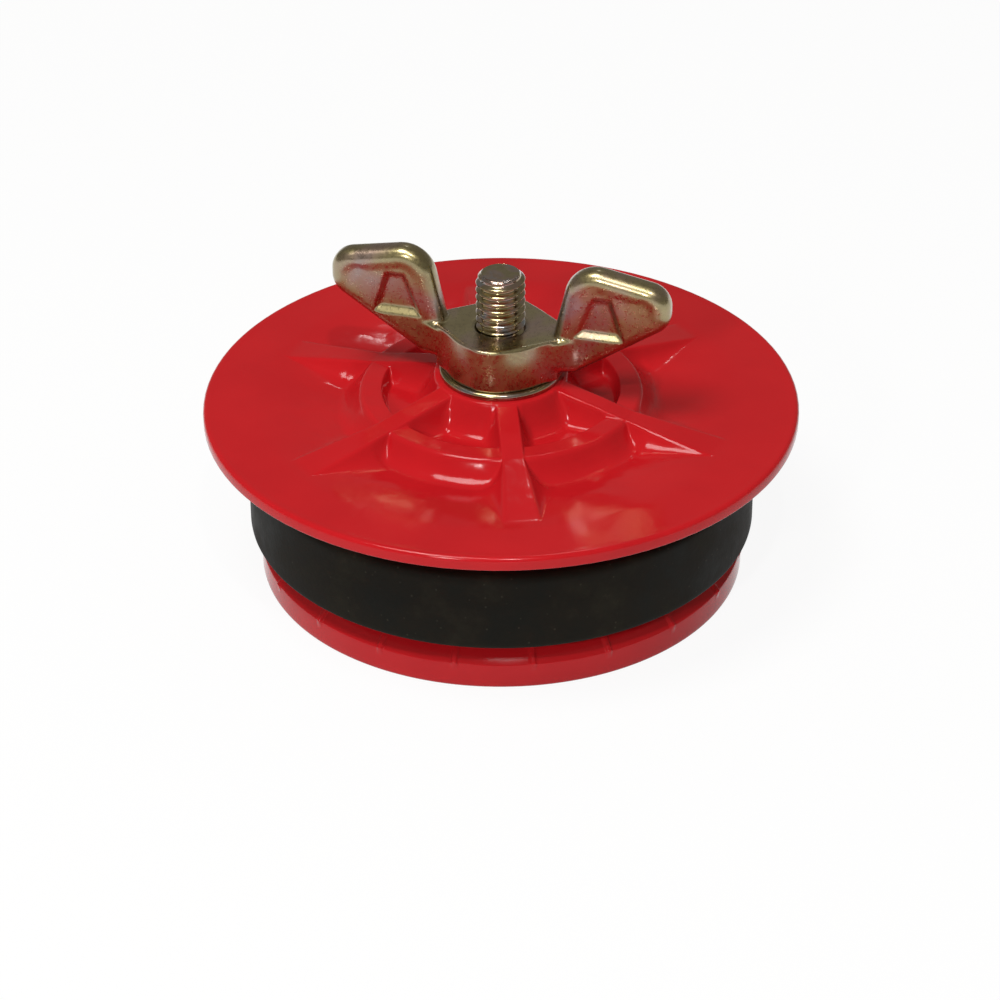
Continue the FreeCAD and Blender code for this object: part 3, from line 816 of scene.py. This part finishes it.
# Wing nut. One zinc casting, plated yellow: a boss with four flats that run out into two tall wings. Each
# wing has a thick rounded rim round a slightly lower face, and a shallow grip recess with sloping sides.
NUT_TURN = -15.7
BOSS_HEIGHT = 8.9
BOSS_NOSE_HALF = 2.0
BOSS_NOSE_REACH = 11.1
BOSS_SHOULDER_REACH = 12.9
BOSS_END_REACH = 12.3
FOOT_RADIUS = 11.0
FOOT_HOLLOW = 0.0016
NUT_BORE = 4.8
NUT_LEAD = 0.4
WING_HALF = 2.65
WING_CORNERS = [(9.7, 1.1), (15.1, 1.1), (33.6, 13.7), (33.6, 21.2), (14.3, 24.9), (9.7, 4.45)]
WING_ROUNDS = [0.5, 2.0, 4.6, 4.6, 6.5, 0.5]
WING_MIDDLE = (21.5, 14.5)
RIM_BEAD = 2.3
RIM_STEP = 0.15
RIM_STEP_RUN = 2.0
RIM_RINGS = 9
STEP_RINGS = 10
FACE_RINGS = 34
RECESS_CORNERS = [(15.0, 9.6), (25.2, 9.6), (22.4, 18.6), (18.4, 18.6)]
RECESS_SLOPES = [0.55, 0.8, 0.8, 0.8]
RECESS_DEPTH = 0.8
ROOT_FILLET = 2.5
CAST_VOXEL = 0.23
FLAT_SLOPE = (BOSS_NOSE_REACH - WING_HALF) / (BOSS_SHOULDER_REACH - BOSS_NOSE_HALF)


def boss_radius(angles):
    """Radius of the boss's plan: the flats, noses and shoulders as distances from the axis, joined by the
    inverse 40th root of the sum of their inverse distances to the 40th power, which rounds the corners."""
    slope = np.array([BOSS_NOSE_REACH - WING_HALF, BOSS_SHOULDER_REACH - BOSS_NOSE_HALF])
    slope /= np.hypot(*slope)
    flat = slope @ np.array([BOSS_NOSE_HALF, BOSS_NOSE_REACH])
    x, y = np.abs(np.cos(angles)), np.abs(np.sin(angles))
    inverse = np.stack([y / BOSS_NOSE_REACH, x / BOSS_END_REACH, (slope[0] * x + slope[1] * y) / flat])
    return (inverse**40).sum(axis=0) ** (-1 / 40)


def boss_rings():
    """The boss as rings from its foot up the flats, over the top and down the bore. Up the flats the radius
    is the greater of the plan and a round foot, which draws in by the cube of the height."""
    angles = ring_angles(360)
    plan = boss_radius(angles)
    even = np.ones_like(angles)

    def wall(height):
        return smooth_max(plan, (FOOT_RADIUS - FOOT_HOLLOW * height**3) * even, 0.9)

    rings = [(even * NUT_BORE, 0), (wall(0) - 0.4, 0), (wall(0) - 0.1, 0.1)]
    rings += [(wall(height), height) for height in np.linspace(0.4, BOSS_HEIGHT - 0.3, 16)]
    rings += [
        (plan, BOSS_HEIGHT - 0.25),
        (plan - 0.08, BOSS_HEIGHT - 0.08),
        (plan - 0.25, BOSS_HEIGHT),
        (even * (NUT_BORE + NUT_LEAD + 0.2), BOSS_HEIGHT),
        (even * (NUT_BORE + NUT_LEAD), BOSS_HEIGHT - 0.1),
        (even * NUT_BORE, BOSS_HEIGHT - NUT_LEAD),
    ]
    return [np.stack([r * np.cos(angles), r * np.sin(angles), z * even], axis=-1) for r, z in rings]


def recess_depth(x, z):
    """Depth of the grip recess: the least of the distances in from its sides, each times its own slope, and
    no more than the recess's full depth."""
    corners = np.array(RECESS_CORNERS)
    inside = RECESS_DEPTH + 0 * x
    for corner, after, slope in zip(corners, np.roll(corners, -1, axis=0), RECESS_SLOPES):
        way = (after - corner) / np.hypot(*(after - corner))
        inside = smooth_min(inside, slope * (way[0] * (z - corner[1]) - way[1] * (x - corner[0])), 0.12)
    return np.maximum(inside, 0)


def wing_rings(side):
    """One wing as rings from the middle of its front face, out over the rim and in to the middle of its
    back face. A ring is the outline drawn in towards the middle, by even distances along the rim and even
    shares inside it. Its height off the middle plane is the rim's round, a bead along the upper edges that
    steps down to the face, the grip recess, and a fillet to the boss's flat below the boss's top, where
    the inner edge is left square inside the boss."""
    outline = rounded(WING_CORNERS, WING_ROUNDS, 0.3, steps=14)
    middle = np.array(WING_MIDDLE)
    ahead = np.roll(outline, -1, axis=0) - np.roll(outline, 1, axis=0)
    normal = np.stack([ahead[:, 1], -ahead[:, 0]], axis=-1) / np.hypot(*ahead.T)[:, None]
    reach = ((outline - middle) * normal).sum(axis=1)
    bead = np.clip(0.55 + 0.9 * normal[:, 1], 0, 1)
    bend = np.linspace(0, math.pi / 2, RIM_RINGS)
    inset = np.concatenate([RIM_BEAD * (1 - np.cos(bend)), RIM_BEAD + np.linspace(0.1, 1.9, STEP_RINGS)])
    edge = np.concatenate([RIM_BEAD * (np.sin(bend) - 1), np.zeros(STEP_RINGS)]) / WING_HALF + 1
    rim_share = 1 - inset[:, None] / reach
    share = np.concatenate([rim_share, rim_share[-1] * np.linspace(0.96, 0.02, FACE_RINGS)[:, None]])
    run = np.clip((inset - RIM_BEAD - 0.1) / RIM_STEP_RUN, 0, 1)
    run = np.concatenate([run, np.ones(FACE_RINGS)])[:, None]
    step = 1 - bead * (1 - run**2 * (3 - 2 * run))
    edge = np.concatenate([edge, np.ones(FACE_RINGS)])[:, None]
    u, z = np.moveaxis(middle + (outline - middle) * share[:, :, None], -1, 0)
    level = WING_HALF - RIM_STEP * step
    flat = WING_HALF + (BOSS_SHOULDER_REACH - u) * FLAT_SLOPE - 0.04
    below_top = np.clip((BOSS_HEIGHT + 0.2 - z) / 0.8, 0, 1)
    fillet = (smooth_max(level, flat, ROOT_FILLET) - level) * below_top
    edge = 1 - (1 - edge) * (1 - np.clip(-2 * normal[:, 0], 0, 1) * below_top)
    rise = (level + fillet) * edge - recess_depth(u, z)
    front = np.stack([u, -rise, z], axis=-1)[::-1]
    back = np.stack([u, rise, z], axis=-1)
    return np.concatenate([front, back]) * np.array([side, side, 1])


nut_foot = node_size("wing_nut")[0][2]


def onto_bolt(part):
    """A shell turned to the nut's angle and lifted onto the washer."""
    points, faces = part
    return points @ np.array(Matrix.Rotation(math.radians(-NUT_TURN), 3, "Z")) + [0, 0, nut_foot], faces


wing_nut = build(
    "nut",
    [
        onto_bolt(shell(boss_rings(), "joined")),
        onto_bolt(shell(wing_rings(1), "filled")),
        onto_bolt(shell(wing_rings(-1), "filled")),
    ],
    zinc_finish("plated cast zinc", 60.0, 1500.0, 0.009, 0.31),
    ["nut_body"],
)
cast = wing_nut.modifiers.new("cast in one", "REMESH")
cast.mode = "VOXEL"
cast.voxel_size = CAST_VOXEL * MM
cast.use_smooth_shade = True
eased = wing_nut.modifiers.new("eased corners", "SMOOTH")
eased.factor = 0.5
eased.iterations = 3
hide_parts("wing_nut")


# Studio. A wide pale floor under soft lamps, and the camera at the photograph's height and distance: 30.4
# degrees above the flange and 650 mm from its middle, with the lens moved down the frame as it was there.
CAMERA_RISE = math.radians(30.409)
CAMERA_ROLL = math.radians(-0.274)
CAMERA_DISTANCE = 0.650
LENS = 120.0
SENSOR = 36.0
LENS_SHIFT = (-0.001, -0.1035)
FLOOR_HALF = 3
FLOOR_WHITE = 0.92
LAMP_AIM = (0, 0, 0.03)

scene = bpy.context.scene
camera = bpy.data.objects.new("camera", bpy.data.cameras.new("camera"))
camera.data.lens = LENS
camera.data.sensor_width = SENSOR
camera.data.shift_x, camera.data.shift_y = LENS_SHIFT
camera.matrix_world = (
    Matrix.Translation(
        (
            0,
            -CAMERA_DISTANCE * math.cos(CAMERA_RISE),
            flange_top * MM + CAMERA_DISTANCE * math.sin(CAMERA_RISE),
        )
    )
    @ Matrix.Rotation(math.pi / 2 - CAMERA_RISE, 4, "X")
    @ Matrix.Rotation(CAMERA_ROLL, 4, "Z")
)
scene.collection.objects.link(camera)
scene.camera = camera
scene.view_settings.view_transform = "Standard"


def floor_finish():
    """Pale floor. Camera, mirror and glass rays see it partly as plain white, so that it stays as pale as
    the photograph's ground and still keeps the plug's shadow."""
    material, tree, shader = finish_of("pale floor", (0.9, 0.9, 0.9), 0.9, 0.0)
    rays = node(tree, "ShaderNodeLightPath")
    seen = node(
        tree,
        "ShaderNodeMath",
        {0: rays.outputs["Is Camera Ray"], 1: rays.outputs["Is Glossy Ray"]},
        operation="MAXIMUM",
    )
    seen = node(
        tree,
        "ShaderNodeMath",
        {0: seen.outputs[0], 1: rays.outputs["Is Transmission Ray"]},
        operation="MAXIMUM",
    )
    share = node(tree, "ShaderNodeMath", {0: seen.outputs[0], 1: FLOOR_WHITE}, operation="MULTIPLY")
    white = node(tree, "ShaderNodeEmission", {"Color": (1, 1, 1, 1), "Strength": 1.0})
    mixed = node(
        tree,
        "ShaderNodeMixShader",
        {0: share.outputs[0], 1: shader.outputs["BSDF"], 2: white.outputs["Emission"]},
    )
    tree.links.new(mixed.outputs["Shader"], tree.nodes["Material Output"].inputs["Surface"])
    return material


floor_mesh = bpy.data.meshes.new("floor")
floor_corners = [(x * FLOOR_HALF, y * FLOOR_HALF, 0) for x, y in ((-1, -1), (1, -1), (1, 1), (-1, 1))]
floor_mesh.from_pydata(floor_corners, [], [(0, 1, 2, 3)])
floor_mesh.materials.append(floor_finish())
floor = bpy.data.objects.new("floor", floor_mesh)
scene.collection.objects.link(floor)


def soft_lamp(name, place, size, power):
    """A square lamp at a place, facing the middle of the plug."""
    lamp = bpy.data.lights.new(name, "AREA")
    lamp.size = size
    lamp.energy = power
    lamp_object = bpy.data.objects.new(name, lamp)
    facing = Vector(place) - Vector(LAMP_AIM)
    lamp_object.matrix_world = Matrix.Translation(place) @ facing.to_track_quat("Z", "Y").to_matrix().to_4x4()
    scene.collection.objects.link(lamp_object)


soft_lamp("overhead lamp", (-0.28, -0.25, 0.95), 0.35, 5.7)
soft_lamp("front lamp", (0.06, -0.62, 1.0), 0.035, 1.9)
soft_lamp("wide front lamp", (0.02, -0.6, 1.0), 0.22, 0.9)
soft_lamp("low front lamp", (-0.28, -0.76, 0.48), 0.08, 1.8)
soft_lamp("back lamp", (0.06, 0.77, 0.8), 0.03, 0.12)

world = bpy.data.worlds.new("studio")
world.use_nodes = True
world.node_tree.nodes["Background"].inputs["Color"].default_value = (1, 0.94, 0.84, 1)
world.node_tree.nodes["Background"].inputs["Strength"].default_value = 0.22
scene.world = world
